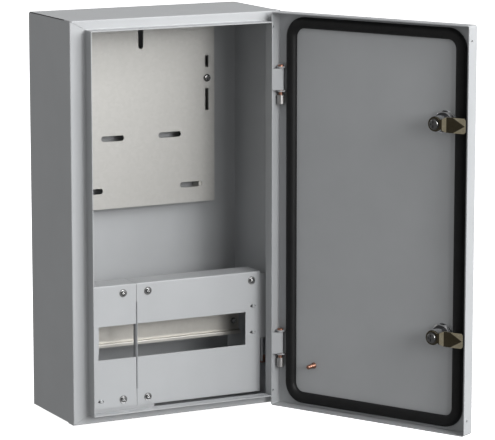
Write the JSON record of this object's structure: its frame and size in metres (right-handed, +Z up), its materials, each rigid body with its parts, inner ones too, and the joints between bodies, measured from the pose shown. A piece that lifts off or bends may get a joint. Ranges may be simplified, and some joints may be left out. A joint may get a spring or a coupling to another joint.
{
  "type": "subpanel enclosure",
  "caption": "Wall mounted sheet steel enclosure with gasketed hinged door, cam locks, meter plate and covered rail for modular devices.",
  "frame": {"origin": "Centre of the wall fixing pattern, on the back face of the box at mid width and mid height.", "axes": "+X to the right seen from the front, +Y into the wall, +Z up. The front and the door face -Y. At rest the door stands open."},
  "size_m": [0.4482, 0.4265, 0.54],
  "materials": {
    "powder_coat": "fine textured light grey powder coat",
    "galvanised_plate": "smooth galvanised sheet",
    "galvanised_parts": "galvanised sheet and rail",
    "hinge_steel": "welded steel under the powder coat",
    "copper_plate": "copper plated steel",
    "zinc_sleeve": "bright zinc",
    "screw_steel": "bright zinc plated screws",
    "lock_chrome": "chromed zinc casting and nut",
    "cam_zinc": "yellow passivated steel",
    "gasket_foam": "foamed polyurethane",
    "seal_rubber": "moulded rubber"
  },
  "bodies": {
    "enclosure": {"body_earth_nuts": "copper_plate", "body_earth_stud": "copper_plate", "body_wrap": "powder_coat", "bottom_panel": "powder_coat", "cover_left": "powder_coat", "cover_right": "powder_coat", "cover_screws": "screw_steel", "cover_washers": "screw_steel", "din_rail": "galvanised_parts", "hinge_leaf_lower": "hinge_steel", "hinge_leaf_upper": "hinge_steel", "lower_support_plate": "powder_coat", "mounting_plate": "galvanised_plate", "plate_screws": "screw_steel", "plate_support_left": "galvanised_parts", "plate_support_right": "galvanised_parts", "rail_bracket_left": "powder_coat", "rail_bracket_right": "powder_coat", "rail_screws": "screw_steel", "top_panel": "powder_coat", "upper_crossbar": "powder_coat"},
    "door": {"door_panel": "powder_coat", "door_gasket": "gasket_foam", "door_earth_stud": "copper_plate", "hinge_bracket_upper": "hinge_steel", "hinge_bracket_lower": "hinge_steel", "hinge_pin_upper": "copper_plate", "hinge_pin_lower": "copper_plate", "hinge_sleeve_upper": "zinc_sleeve", "hinge_sleeve_lower": "zinc_sleeve", "lock_housing_upper": "lock_chrome", "lock_housing_lower": "lock_chrome", "lock_seal_upper": "seal_rubber", "lock_seal_lower": "seal_rubber", "lock_washer_upper": "lock_chrome", "lock_washer_lower": "lock_chrome", "lock_nut_upper": "lock_chrome", "lock_nut_lower": "lock_chrome"},
    "lock_upper": {"lock_plug_upper": "lock_chrome", "lock_cam_upper": "cam_zinc", "cam_washer_upper": "screw_steel", "cam_screw_upper": "screw_steel"},
    "lock_lower": {"lock_plug_lower": "lock_chrome", "lock_cam_lower": "cam_zinc", "cam_washer_lower": "screw_steel", "cam_screw_lower": "screw_steel"}
  },
  "joints": [
    {"name": "door_hinge", "type": "hinge", "parent": "enclosure", "child": "door", "pos_m": [0.1472, -0.1518, 0], "axis": [0, 0, 1], "range_deg": [-117.5, 4.5], "deforming": ["door_gasket"]},
    {"name": "lock_upper_turn", "type": "hinge", "parent": "door", "child": "lock_upper", "pos_m": [0.27183, -0.37519, 0.141], "axis": [-0.887, -0.4617, 0], "range_deg": [0, 90]},
    {"name": "lock_lower_turn", "type": "hinge", "parent": "door", "child": "lock_lower", "pos_m": [0.27183, -0.37519, -0.141], "axis": [-0.887, -0.4617, 0], "range_deg": [0, 90]}
  ]
}
